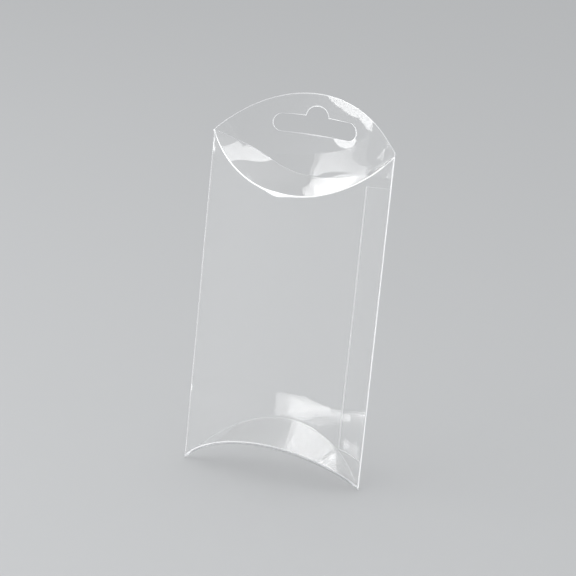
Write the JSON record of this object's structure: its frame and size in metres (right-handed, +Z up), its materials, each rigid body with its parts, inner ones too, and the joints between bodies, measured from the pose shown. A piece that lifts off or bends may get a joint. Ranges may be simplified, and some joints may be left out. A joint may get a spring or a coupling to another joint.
{
  "type": "pillow pack",
  "caption": "Clear plastic pillow pack: curved front and back panels, curved closing flaps top and bottom, and a hang tab with a euro slot.",
  "frame": {"origin": "middle of the hang slot, in the middle of the tab's sheet", "axes": "+Z up along the pack, towards the hang tab; -Y the front, away from the wall; +X to the right of someone who faces the front"},
  "size_m": [0.0674, 0.0335, 0.1409],
  "materials": {
    "clear_sheet": "clear glossy PET sheet, creased and glued"
  },
  "bodies": {
    "sleeve": {"sleeve": "clear_sheet"},
    "top_flap": {"top_flap": "clear_sheet"},
    "bottom_flap": {"bottom_flap": "clear_sheet"}
  },
  "joints": [
    {"name": "top_flap_fold", "type": "hinge", "parent": "sleeve", "child": "top_flap", "pos_m": [0, -0.03345, -0.0189], "axis": [1, 0, 0], "range_deg": [0, 90]},
    {"name": "bottom_flap_fold", "type": "hinge", "parent": "sleeve", "child": "bottom_flap", "pos_m": [0, 0.00015, -0.1132], "axis": [1, 0, 0], "range_deg": [0, 90]}
  ]
}
